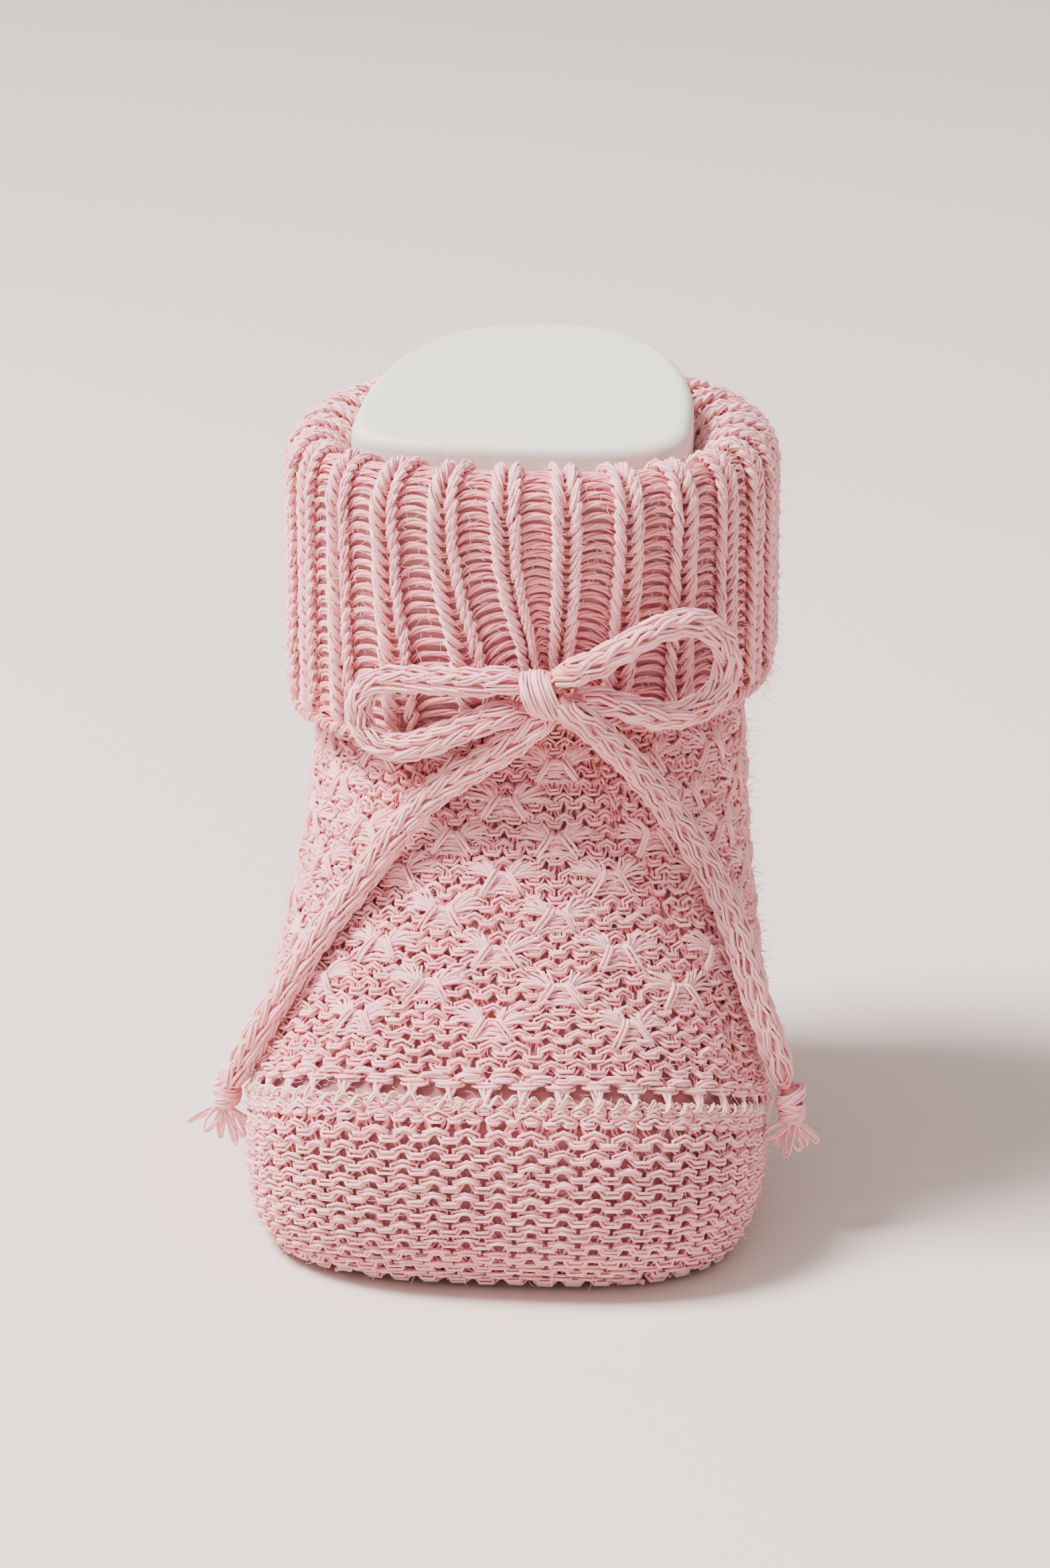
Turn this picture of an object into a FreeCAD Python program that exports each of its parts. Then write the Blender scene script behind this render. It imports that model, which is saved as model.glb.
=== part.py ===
"""Knitted baby bootie with a folded ribbed cuff, a tied cord and a removable display form.

Millimetres. +Z is up and the toe points to -Y. Left and right are as seen from in front of
the toe, so left is -X.
The origin is on the floor, at the middle of the bootie's bounding box. Every soft wall is a
plain shell of the knit's real thickness; the stitches themselves are not modelled here.
"""
import FreeCAD, Part
import math
import os

from FreeCAD import Vector

# ---------------------------------------------------------------- driving dimensions
KNIT = 2.2                  # thickness of every knitted layer
SOLE_TOP = 2.4              # the sole's upper face
EYELET_TALL = 4.0           # height of the row of eyelets above the side band
ANKLE_TOP = 62.0            # where the cord is threaded and the rib begins
FOLD_UNDER = 87.0           # underside of the fold, between the two layers of rib
CUFF_TOP = 91.5             # top of the folded cuff
CUFF_BOTTOM = 59.0          # mean height of the cuff's free edge
CUFF_SLANT = 3.7            # degrees: the free edge sits lower towards -X
EDGE_BAND = 2.0             # height of the cast-off row along the free edge
GATHER_TOP = 64.0           # the cord lifts the free edge to this height in front
GATHER_RADIUS = 16.0
CORD = 3.4                  # diameter of the knitted cord
CORD_HEIGHT = 62.5          # height of the cord where it circles the ankle
SEAM_WIDTH = 2.4            # seam up the back of the heel
THREAD_RISE = 0.6           # the joining thread stands this far off the eyelet row
THREAD_ABOVE = (1.2, 2.1)   # and lies this far above the side band
FORM_BASE = 60.0            # underside of the display form
FORM_FULL = 74.0            # it widens up to this height
FORM_FRONT_TOP, FORM_BACK_TOP = 92.6, 98.8
FORM_EDGE = 1.6             # rounding of the form's top edge

# Level outlines of the foot, from the floor up to the ankle. Each is a rounded oval:
# height, half width, front y, back y, y of the widest place, squareness in front and behind.
FOOT = [
    (0.0, 26.6, -39.5, 36.5, -18.0, 3.0, 1.95),
    (2.4, 28.6, -42.3, 40.0, -18.0, 3.0, 2.0),
    (6.0, 29.8, -44.8, 43.3, -18.0, 2.9, 2.0),
    (12.0, 30.2, -45.7, 45.5, -17.0, 2.85, 2.0),
    (18.0, 30.0, -44.8, 45.5, -15.0, 2.75, 2.0),
    (24.0, 29.2, -41.5, 44.6, -10.0, 2.5, 2.0),
    (32.0, 27.8, -35.0, 42.0, -5.0, 2.3, 2.0),
    (40.0, 26.6, -28.5, 38.6, 0.0, 2.15, 2.1),
    (48.0, 25.8, -23.0, 35.4, 4.0, 2.1, 2.1),
    (56.0, 25.2, -18.8, 33.0, 7.0, 2.1, 2.2),
    (62.0, 22.8, -16.2, 32.2, 8.0, 2.2, 2.2),
]
# The side band's top edge from toe to heel, y and height: it rises towards the toe.
BAND_TOP = [(-52.0, 24.8), (-42.0, 21.3), (-27.0, 16.2), (-13.0, 11.6), (-3.0, 8.6),
            (6.0, 7.0), (18.0, 6.6), (52.0, 6.6)]
# The display form, a smooth block: a rounded trapezium, wider in front, without its height.
FORM = (19.8, -11.5, 27.0, -3.0, 3.6, 2.3)
# The hole that the leg goes through. The soft rib follows the form.
HOLE = (20.2, -11.9, 27.4, -3.0, 3.6, 2.3)
# The rib where it stands up inside the cuff, from the ankle's outline to the hole's.
STAND = [
    (62.0, 22.8, -16.2, 32.2, 8.0, 2.2, 2.2),
    (65.0, 22.8, -16.2, 32.2, 8.0, 2.2, 2.2),
    (72.0, 22.4, -14.1, 29.6, -3.0, 3.6, 2.3),
    (88.0, 22.4, -14.1, 29.6, -3.0, 3.6, 2.3),
]
# The cuff's outside and the gap between its two layers, each without its height. The cuff's
# top rolls over: how high and how far in.
CUFF = (28.6, -22.5, 39.0, 8.0, 2.2, 2.2)
GAP = (26.4, -20.3, 36.8, 8.0, 2.2, 2.2)
CUFF_ROOM_FLOOR = 40.0      # the cuff is cut from a taller ring that starts here
ROLL_OUTSIDE = (6.0, 4.2)
ROLL_INSIDE = (5.0, 3.6)
ROLL_STEPS = 5

# The front panel's edges: height and half angle, seen from the post of the ankle at PANEL_AXIS.
PANEL_AXIS = Vector(0, 5, 0)
PANEL_EDGE = [(8.0, 49.0), (30.0, 42.0), (44.0, 34.0), (64.0, 20.0)]

# The bow, in front of the cuff. Each route is the middle of the cord, from the knot outwards.
KNOT_AT, KNOT_HALF = Vector(4.8, -25.5, 67.0), (3.3, 2.8, 3.5)
LOOP_LEFT = [
    (3.2, -25.6, 69.0), (-1.6, -25.5, 68.1), (-6.6, -24.9, 68.0), (-10.8, -23.9, 67.9),
    (-14.4, -22.7, 67.4), (-16.9, -21.9, 65.1), (-16.9, -21.9, 61.7), (-14.5, -22.9, 59.3),
    (-10.4, -24.0, 59.7), (-5.6, -24.9, 62.0), (-0.8, -25.1, 64.2), (3.2, -24.9, 65.3),
]
LOOP_RIGHT = [
    (6.0, -25.8, 69.3), (9.8, -25.4, 70.1), (14.4, -23.8, 72.6), (18.8, -21.5, 74.7),
    (22.8, -18.5, 74.3), (25.2, -16.4, 71.0), (25.3, -16.3, 66.9), (22.8, -18.3, 63.9),
    (18.6, -21.2, 63.2), (14.2, -23.4, 65.3), (9.8, -24.4, 66.6), (6.6, -24.3, 65.9),
]
TAIL_LEFT = [
    (5.6, -24.7, 64.6), (1.6, -24.4, 60.9), (-3.0, -23.9, 57.6), (-8.2, -23.4, 54.2),
    (-12.4, -23.3, 49.2), (-16.4, -23.7, 43.4), (-20.8, -24.9, 37.6), (-24.4, -26.4, 32.2),
    (-27.6, -27.4, 26.6), (-30.3, -27.0, 21.6), (-31.9, -25.2, 18.2),
]
TAIL_RIGHT = [
    (6.6, -26.6, 66.6), (9.8, -25.8, 64.0), (13.4, -23.5, 60.0), (17.0, -20.7, 54.8),
    (20.6, -18.4, 49.0), (24.0, -17.3, 43.0), (26.7, -18.1, 36.8), (29.0, -20.3, 30.4),
    (31.3, -21.6, 24.2), (33.0, -20.8, 18.6),
]
END_LEFT, END_RIGHT = Vector(-32.5, -24.2, 16.8), Vector(33.5, -20.5, 16.2)
END_HALF = (2.1, 2.0, 2.4)
TASSEL_LEFT, TASSEL_RIGHT = Vector(-33.0, -24.2, 12.0), Vector(33.8, -20.8, 11.6)
TASSEL_HALF = (1.6, 1.3, 2.8)

AROUND = 28                 # points on each outline
BIG = 80.0                  # reach of the cutting blocks, beyond the whole bootie


# ---------------------------------------------------------------- outlines and shells
def outline(height, half_width, front, back, wide_y, square_front, square_back, grow=0.0):
    """A closed level curve: a rounded oval whose front and back halves differ."""
    points = []
    for i in range(AROUND):
        turn = 2 * math.pi * i / AROUND
        c, s = math.cos(turn), math.sin(turn)
        power = 2 / (square_front if s < 0 else square_back)
        reach = (wide_y - front + grow) if s < 0 else (back - wide_y + grow)
        x = (half_width + grow) * math.copysign(abs(c) ** power, c)
        y = wide_y + reach * math.copysign(abs(s) ** power, s)
        points.append(Vector(x, y, height))
    curve = Part.BSplineCurve()
    curve.interpolate(Points=points, PeriodicFlag=True)
    return Part.Wire([curve.toShape()])


def loft(stations, grow=0.0, straight=False):
    """A solid through level outlines, each grown outwards or, if negative, inwards."""
    return Part.makeLoft([outline(*s, grow=grow) for s in stations], True, straight)


def stack(shape, levels):
    """A solid of straight-sided slices of one outline, from (height, growth) pairs."""
    return Part.makeLoft([outline(z, *shape, grow=g) for z, g in levels], True, True)


def slab(low, high):
    """Everything between two heights."""
    return Part.makeBox(2 * BIG, 2 * BIG, high - low, Vector(-BIG, -BIG, low))


def largest(shape):
    """The biggest solid of a cut shape."""
    return max(shape.Solids, key=lambda solid: solid.Volume)


def ellipsoid(centre, half):
    ball = Part.makeSphere(1.0)
    stretch = FreeCAD.Matrix()
    stretch.scale(*half)
    stretched = ball.transformGeometry(stretch)
    stretched.translate(centre)
    return stretched


# ---------------------------------------------------------------- the foot
def foot_shell():
    """The closed shell of the foot and ankle, with the room for the foot taken out."""
    inside = loft(FOOT, grow=-KNIT).common(slab(SOLE_TOP, BIG))
    return loft(FOOT).cut(inside)


def below_band_top(rise=0.0):
    """Everything under the side band's top edge, or under that edge raised."""
    line = [Vector(-BIG, y, z + rise) for y, z in BAND_TOP]
    curve = Part.BSplineCurve()
    curve.interpolate(line)
    front, back = line[0], line[-1]
    corners = [back, Vector(-BIG, back.y, -BIG), Vector(-BIG, front.y, -BIG), front]
    edges = [curve.toShape()] + list(Part.makePolygon(corners).Edges)
    return Part.Face(Part.Wire(edges)).extrude(Vector(2 * BIG, 0, 0))


def front_wedge():
    """The front panel's share of the shell: a wedge that narrows as it rises."""
    stations = []
    for height, half_angle in PANEL_EDGE:
        turn = math.radians(half_angle)
        axis = Vector(PANEL_AXIS.x, PANEL_AXIS.y, height)
        right = axis + Vector(math.sin(turn), -math.cos(turn), 0) * BIG
        left = axis + Vector(-math.sin(turn), -math.cos(turn), 0) * BIG
        stations.append(Part.makePolygon([axis, left, right, axis]))
    return Part.makeLoft(stations, True, True)


def seam_strip():
    """A narrow upright strip through the heel."""
    return Part.makeBox(SEAM_WIDTH, BIG, ANKLE_TOP - SOLE_TOP,
                        Vector(-SEAM_WIDTH / 2, 10, SOLE_TOP))


def foot_parts():
    shell = foot_shell()
    wedge = front_wedge()
    strip = seam_strip()
    walls = shell.cut(strip)
    above_sole = slab(SOLE_TOP, ANKLE_TOP)
    band, band_and_eyelets = below_band_top(), below_band_top(EYELET_TALL)
    upper = walls.common(above_sole).cut(band_and_eyelets)
    sides = sorted(upper.cut(wedge).Solids, key=lambda solid: solid.CenterOfMass.x)
    low, high = (below_band_top(rise) for rise in THREAD_ABOVE)
    thread = loft(FOOT, grow=THREAD_RISE).common(high).cut(low).cut(loft(FOOT))
    return {
        "sole": largest(shell.common(slab(0, SOLE_TOP))),
        "side_band": largest(walls.common(above_sole).common(band)),
        "eyelet_row": largest(walls.common(band_and_eyelets).cut(band)),
        "join_thread": largest(thread),
        "instep_panel": largest(upper.common(wedge)),
        "side_wall_left": sides[0],
        "side_wall_right": sides[-1],
        "back_seam": largest(shell.common(strip)),
    }


# ---------------------------------------------------------------- the cuff
def free_edge(rise=0.0):
    """What is cut away below the cuff's free edge, which slants and is lifted in front."""
    below = Part.makeBox(2 * BIG, 2 * BIG, BIG, Vector(-BIG, -BIG, CUFF_BOTTOM - BIG))
    below.rotate(Vector(0, 0, CUFF_BOTTOM), Vector(0, 1, 0), -CUFF_SLANT)
    lift = Part.makeCylinder(GATHER_RADIUS, BIG, Vector(KNOT_AT.x, -BIG, GATHER_TOP - GATHER_RADIUS),
                             Vector(0, 1, 0))
    cutter = below.fuse(lift)
    cutter.translate(Vector(0, 0, rise))
    return cutter


def rolled(shape, low, high, inwards):
    """A solid that rises straight from low and then rolls inwards to the cuff's top."""
    levels = [(low, 0.0)]
    for step in range(ROLL_STEPS + 1):
        turn = math.pi / 2 * step / ROLL_STEPS
        levels.append((CUFF_TOP - high * (1 - math.sin(turn)), -inwards * (1 - math.cos(turn))))
    return stack(shape, levels)


def cuff_parts():
    stand = loft(STAND, straight=True).cut(loft(STAND, grow=-KNIT, straight=True))
    between = stack(GAP, [(CUFF_ROOM_FLOOR, 0), (FOLD_UNDER, 0)])
    high, outwards = ROLL_INSIDE
    leg = rolled(HOLE, CUFF_ROOM_FLOOR, high, -outwards)
    ring = rolled(CUFF, CUFF_BOTTOM - GATHER_RADIUS, *ROLL_OUTSIDE).cut(between).cut(leg)
    bare = ring.cut(free_edge())
    return {
        "ankle_stand": largest(stand.common(slab(ANKLE_TOP, FOLD_UNDER))),
        "cuff": largest(bare.cut(free_edge(EDGE_BAND))),
        "cuff_edge": largest(bare.common(free_edge(EDGE_BAND))),
    }


# ---------------------------------------------------------------- the cord
def tube_path(points):
    """Straight runs joined by tangent arcs as large as the runs allow."""
    route = [Vector(*p) for p in points]
    edges, radii, length, here = [], [], 0.0, route[0]
    for before, corner, after in zip(route, route[1:], route[2:]):
        arrive, leave = corner - before, after - corner
        half_turn = arrive.getAngle(leave) / 2
        setback = 0.45 * min(arrive.Length, leave.Length)
        radius = setback / math.tan(half_turn)
        start = corner - arrive.normalize() * setback
        end = corner + leave.normalize() * setback
        chord_middle = (start + end) / 2
        rise = radius * (1 - math.cos(half_turn))
        middle = chord_middle + (corner - chord_middle).normalize() * rise
        edges.append(Part.LineSegment(here, start).toShape())
        edges.append(Part.Arc(start, middle, end).toShape())
        length += here.distanceToPoint(start) + radius * 2 * half_turn
        radii.append(radius)
        here = end
    edges.append(Part.LineSegment(here, route[-1]).toShape())
    length += here.distanceToPoint(route[-1])
    return Part.Wire(edges), radii, length


def tube(name, points):
    """The cord's solid along a route, with its radii and its volume checked in print."""
    path, radii, length = tube_path(points)
    first, second = Vector(*points[0]), Vector(*points[1])
    section = Part.Wire([Part.makeCircle(CORD / 2, first, second - first)])
    solid = path.makePipeShell([section], True, False)
    expected = math.pi * CORD ** 2 / 4 * length
    print(f"{name}: {length:.1f} mm, radii {' '.join(f'{r:.1f}' for r in radii)}, "
          f"volume {solid.Volume:.1f} of {expected:.1f}")
    return solid


def ankle_ring():
    """The cord where it circles the ankle: an eight-sided ring close round the wall."""
    half, flat, gap = CORD / 2, CORD / 2 * math.tan(math.pi / 8), 0.1
    levels = [(-half, flat), (-flat, half), (flat, half), (half, flat)]
    neck = STAND[0][1:]
    middle = gap + half
    outer = stack(neck, [(CORD_HEIGHT + z, middle + r) for z, r in levels])
    inner = stack(neck, [(CORD_HEIGHT + z, middle - r) for z, r in levels])
    return largest(outer.cut(inner))


def bow_parts():
    """The knot lies on top, so each piece gives way to the ones made before it."""
    made = {"bow_knot": ellipsoid(KNOT_AT, KNOT_HALF)}
    routes = {
        "tie_tail_right": TAIL_RIGHT,
        "bow_loop_left": LOOP_LEFT,
        "bow_loop_right": LOOP_RIGHT,
        "tie_tail_left": TAIL_LEFT,
    }
    made["end_knot_left"] = ellipsoid(END_LEFT, END_HALF)
    made["end_knot_right"] = ellipsoid(END_RIGHT, END_HALF)
    for name, route in routes.items():
        solid = tube(name, route)
        for other in list(made.values()):
            solid = solid.cut(other)
        made[name] = largest(solid)
    made["tassel_left"] = largest(ellipsoid(TASSEL_LEFT, TASSEL_HALF).cut(made["end_knot_left"]))
    made["tassel_right"] = largest(ellipsoid(TASSEL_RIGHT, TASSEL_HALF).cut(made["end_knot_right"]))
    return made


# ---------------------------------------------------------------- the display form
def display_form():
    """A smooth block that fills the cuff; its top slopes down to the front."""
    _, front, back, *_ = FORM
    taper = -0.42 * (FORM_FULL - FORM_BASE)
    block = stack(FORM, [(FORM_BASE, taper), (FORM_FULL, 0), (FORM_BACK_TOP + 4, 0)])
    slope = math.degrees(math.atan2(FORM_BACK_TOP - FORM_FRONT_TOP, back - front))
    lid = Part.makeBox(2 * BIG, 2 * BIG, BIG, Vector(-BIG, front - BIG, FORM_FRONT_TOP))
    lid.rotate(Vector(0, front, FORM_FRONT_TOP), Vector(1, 0, 0), slope)
    block = block.cut(lid)
    top_edges = [e for e in block.Edges if e.BoundBox.ZMin > FORM_FRONT_TOP - 0.5]
    return largest(block.makeFillet(FORM_EDGE, top_edges))


# ---------------------------------------------------------------- the whole bootie
def build():
    parts = {}
    parts.update(foot_parts())
    parts.update(cuff_parts())
    parts["drawstring"] = ankle_ring()
    parts.update(bow_parts())
    parts["ankle_form"] = display_form()
    return parts


os.makedirs("parts", exist_ok=True)
for node, shape in build().items():
    box = shape.BoundBox
    print(f"{node}: valid {shape.isValid()}, solids {len(shape.Solids)}, volume {shape.Volume:.0f}, "
          f"x {box.XMin:.1f}..{box.XMax:.1f}, y {box.YMin:.1f}..{box.YMax:.1f}, "
          f"z {box.ZMin:.1f}..{box.ZMax:.1f}")
    shape.exportStep(f"parts/{node}.step")
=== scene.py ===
"""A hand-knitted baby bootie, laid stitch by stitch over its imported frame.

Lengths inside the script are millimetres and become metres where a mesh is made. A place on
a knitted wall is three numbers: the share of the way round, 0 behind and 0.5 in front, going
by the left; the height on the wall; and the depth, positive outwards.
"""
import math

import bmesh
import bpy
import numpy as np
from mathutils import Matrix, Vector
from mathutils.bvhtree import BVHTree


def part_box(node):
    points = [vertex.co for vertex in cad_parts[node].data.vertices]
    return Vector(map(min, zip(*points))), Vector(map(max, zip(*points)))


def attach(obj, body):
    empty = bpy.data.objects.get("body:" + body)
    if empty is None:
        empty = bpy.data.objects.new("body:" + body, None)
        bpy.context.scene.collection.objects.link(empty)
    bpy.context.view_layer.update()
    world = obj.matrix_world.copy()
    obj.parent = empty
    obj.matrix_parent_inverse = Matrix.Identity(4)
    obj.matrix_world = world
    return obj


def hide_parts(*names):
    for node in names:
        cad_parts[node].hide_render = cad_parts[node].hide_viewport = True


bl_info = {
    "name": "Knitted Baby Bootie",
    "version": (1, 0, 0),
    "blender": (4, 5, 0),
    "location": "3D View > Sidebar > Bootie",
    "description": "Knits a baby bootie over its frame, with a folded rib cuff and a tied cord",
    "category": "Add Mesh",
}

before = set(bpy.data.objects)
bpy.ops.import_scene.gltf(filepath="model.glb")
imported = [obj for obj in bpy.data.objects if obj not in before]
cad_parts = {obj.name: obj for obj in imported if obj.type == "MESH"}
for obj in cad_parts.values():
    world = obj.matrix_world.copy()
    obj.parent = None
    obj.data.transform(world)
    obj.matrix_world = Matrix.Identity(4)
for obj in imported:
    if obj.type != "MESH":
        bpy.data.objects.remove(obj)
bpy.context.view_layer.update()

# ---------------------------------------------------------------- sizes, in millimetres
MM = 0.001
COLUMNS = 240               # points round every row of a wall
RAY_REACH = 90.0            # rays start this far out from the middle of the leg
LEG_MIDDLE_Y = 6.0          # the rays' middle, inside every level outline
FOOT_LOW, FOOT_HIGH = 0.35, 61.9
FOOT_STEP = 0.85            # between the level rows that describe the foot's wall
STITCH_POINTS = 9           # points along one stitch of yarn
STITCH_LEAN = 0.235         # how far a stitch's legs cross over, in stitches
LINING_DEPTH = -0.85        # the lining's outer face, under the yarn
LINING_THICK = 0.8
LINING_INSET = 1.6          # the foot lining's rise off the floor, and its top row's turn inwards

# The side band's top edge from toe to heel, y and height, and the eyelets above it.
BAND_TOP = [(-52.0, 24.8), (-42.0, 21.3), (-27.0, 16.2), (-13.0, 11.6), (-3.0, 8.6),
            (6.0, 7.0), (18.0, 6.6), (52.0, 6.6)]
EYELET_TALL = 4.0
EYELET_STEP = 4.5           # from one eyelet to the next
EYELET_LEVELS = slice(8, 24)    # the foot's rows whose mean girth spaces eyelets and thread
SOLE_ROW = 2.3              # from one row of the sole to the next
THREAD_STITCH = 2.1         # length of one stitch of the joining thread

FOOT_NODES = ("sole", "side_band", "eyelet_row", "instep_panel", "side_wall_left",
              "side_wall_right", "back_seam")

# The cord's routes, from the knot outwards.
CORD = 3.4
LOOP_LEFT = [
    (3.2, -25.6, 69.0), (-1.6, -25.5, 68.1), (-6.6, -24.9, 68.0), (-10.8, -23.9, 67.9),
    (-14.4, -22.7, 67.4), (-16.9, -21.9, 65.1), (-16.9, -21.9, 61.7), (-14.5, -22.9, 59.3),
    (-10.4, -24.0, 59.7), (-5.6, -24.9, 62.0), (-0.8, -25.1, 64.2), (3.2, -24.9, 65.3),
]
LOOP_RIGHT = [
    (6.0, -25.8, 69.3), (9.8, -25.4, 70.1), (14.4, -23.8, 72.6), (18.8, -21.5, 74.7),
    (22.8, -18.5, 74.3), (25.2, -16.4, 71.0), (25.3, -16.3, 66.9), (22.8, -18.3, 63.9),
    (18.6, -21.2, 63.2), (14.2, -23.4, 65.3), (9.8, -24.4, 66.6), (6.6, -24.3, 65.9),
]
TAIL_LEFT = [
    (5.6, -24.7, 64.6), (1.6, -24.4, 60.9), (-3.0, -23.9, 57.6), (-8.2, -23.4, 54.2),
    (-12.4, -23.3, 49.2), (-16.4, -23.7, 43.4), (-20.8, -24.9, 37.6), (-24.4, -26.4, 32.2),
    (-27.6, -27.4, 26.6), (-30.3, -27.0, 21.6), (-31.9, -25.2, 18.2),
]
TAIL_RIGHT = [
    (6.6, -26.6, 66.6), (9.8, -25.8, 64.0), (13.4, -23.5, 60.0), (17.0, -20.7, 54.8),
    (20.6, -18.4, 49.0), (24.0, -17.3, 43.0), (26.7, -18.1, 36.8), (29.0, -20.3, 30.4),
    (31.3, -21.6, 24.2), (33.0, -20.8, 18.6),
]


# ---------------------------------------------------------------- what a user may change
def a_length(name, description, default):
    return bpy.props.FloatProperty(
        name=name, description=description, default=default, unit="LENGTH", precision=5)


def a_colour(name, description, default):
    return bpy.props.FloatVectorProperty(
        name=name, description=description, default=(*default, 1), size=4,
        subtype="COLOR", min=0, max=1)


class BootieKnit(bpy.types.PropertyGroup):
    """Sizes of the knitting."""

    band_stitch: a_length(
        "Band stitch", "Width of one stitch on the side band", 0.0037)
    band_row: a_length(
        "Band row", "Height of one row of the side band", 0.00178)
    panel_stitch: a_length(
        "Panel stitch", "Width of one stitch on the panels at the eyelets", 0.0036)
    panel_rows: bpy.props.IntProperty(
        name="Panel rows", description="Rows of stitches from the eyelets to the ankle",
        default=25)
    motif_width: a_length(
        "Motif spacing", "Distance between motifs along a row at the eyelets", 0.0181)
    motif_rows: bpy.props.FloatProperty(
        name="Motif rows", description="Rows between one line of motifs and the next",
        default=2.53)
    narrowing: bpy.props.FloatProperty(
        name="Narrowing", description="How much tighter the stitches get from row to row",
        default=0.03)
    ribs: bpy.props.IntProperty(
        name="Ribs", description="Ribs round the folded cuff", default=26)
    rib_rows: bpy.props.IntProperty(
        name="Rib rows", description="Rows of rib on the outside of the cuff", default=18)
    strand: a_length(
        "Strand radius", "Radius of one fine strand of the cotton", 0.00021)
    fibres: bpy.props.IntProperty(
        name="Loose fibres", description="Short fibres that stand off the knitting",
        default=9500)


class BootieColours(bpy.types.PropertyGroup):
    """Colours of the yarns, the thread, the display form and the floor."""

    # The yarn's own colour, shown where the strands stand out of the painted shade.
    yarn: a_colour(
        "Cotton", "Colour of the yarn where it faces the light", (0.985, 0.51, 0.53))
    # Painted shade: the darker, redder pink that the yarn's colour gives way to down between the
    # stitches and in the lining.
    painted_shade: a_colour(
        "Deep cotton", "Colour of the yarn down between the stitches", (0.88, 0.25, 0.29))
    thread: a_colour("Thread", "Colour of the joining thread", (0.90, 0.68, 0.56))
    form: a_colour("Display form", "Colour of the display form", (0.69, 0.645, 0.56))
    floor: a_colour("Floor", "Colour of the floor", (0.74, 0.625, 0.565))


# ---------------------------------------------------------------- walls read from the frame
def tree_of(*nodes):
    """A ray-casting tree over the frame's nodes."""
    points, faces = [], []
    for node in nodes:
        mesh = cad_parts[node].data
        first = len(points)
        points += [v.co for v in mesh.vertices]
        faces += [[first + i for i in p.vertices] for p in mesh.polygons]
    return BVHTree.FromPolygons(points, faces)


def way_round(column):
    """The level direction of a column of points, from the leg's middle."""
    turn = 2 * math.pi * column / COLUMNS
    return Vector((-math.sin(turn), math.cos(turn), 0))


def level_row(tree, height, from_inside=False):
    """The wall's outline at one height, as a ring of points."""
    middle = Vector((0, LEG_MIDDLE_Y, height)) * MM
    row = []
    for column in range(COLUMNS):
        way = way_round(column)
        start = middle if from_inside else middle + way * RAY_REACH * MM
        hit = tree.ray_cast(start, way if from_inside else -way)[0]
        if hit is None:
            raise RuntimeError(f"no wall at height {height:.1f} in direction {column}")
        row.append(hit / MM)
    return np.array(row)


def evenly_spaced(row):
    """The same ring with its points at equal steps, still starting behind."""
    ring = np.vstack([row, row[:1]])
    along = np.concatenate([[0], np.cumsum(np.linalg.norm(np.diff(ring, axis=0), axis=1))])
    wanted = np.arange(COLUMNS) / COLUMNS * along[-1]
    return np.stack([np.interp(wanted, along, ring[:, k]) for k in range(3)], axis=1)


def unit(vectors):
    return vectors / np.maximum(np.linalg.norm(vectors, axis=-1, keepdims=True), 1e-9)


class Skin:
    """A wall that yarn is laid on: closed rows of evenly spaced points, and their heights."""

    def __init__(self, rows, heights):
        self.heights = np.asarray(heights, float)
        self.points = np.stack([evenly_spaced(row) for row in rows])
        steps = np.roll(self.points, -1, 1) - self.points
        self.girths = np.linalg.norm(steps, axis=2).sum(1)
        along = np.roll(self.points, -1, 1) - np.roll(self.points, 1, 1)
        self.normals = unit(np.cross(along, np.gradient(self.points, axis=0)))

    def girth(self, height):
        return np.interp(height, self.heights, self.girths)

    def place(self, share, height, depth):
        """Points on the wall, and the way outwards at each."""
        row = np.interp(height, self.heights, np.arange(len(self.heights)))
        column = np.mod(share, 1.0) * COLUMNS
        low, left = np.floor(row).astype(int), np.floor(column).astype(int)
        up, right = (row - low)[..., None], (column - left)[..., None]
        above, beside = np.minimum(low + 1, len(self.heights) - 1), (left + 1) % COLUMNS
        left = left % COLUMNS

        def mixed(grid):
            under = grid[low, left] * (1 - right) + grid[low, beside] * right
            over = grid[above, left] * (1 - right) + grid[above, beside] * right
            return under * (1 - up) + over * up

        normals = unit(mixed(self.normals))
        return mixed(self.points) + normals * np.asarray(depth)[..., None], normals

    def levels(self, low, high, count, share=None):
        """Heights of count + 1 courses at equal steps up the wall, at a share or on average."""
        steps = np.linalg.norm(np.diff(self.points, axis=0), axis=2)
        steps = steps.mean(1) if share is None else steps[:, int(share * COLUMNS)]
        along = np.concatenate([[0], np.cumsum(steps)])
        first, last = np.interp([low, high], self.heights, along)
        return np.interp(np.linspace(first, last, count + 1), along, self.heights)


def foot_skin():
    tree = tree_of(*FOOT_NODES)
    heights = np.linspace(FOOT_LOW, FOOT_HIGH, int((FOOT_HIGH - FOOT_LOW) / FOOT_STEP))
    return Skin([level_row(tree, height) for height in heights], heights)


FOLD_RISE = 5.0             # the fold's rounded top above the straight walls
FOLD_STEPS = 14
FOLD_CLEARANCE = 0.4        # yarn stands this far over the rounded top
OUTLINE_DROP = 8            # the leg's outlines are taken this far under the fold


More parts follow.
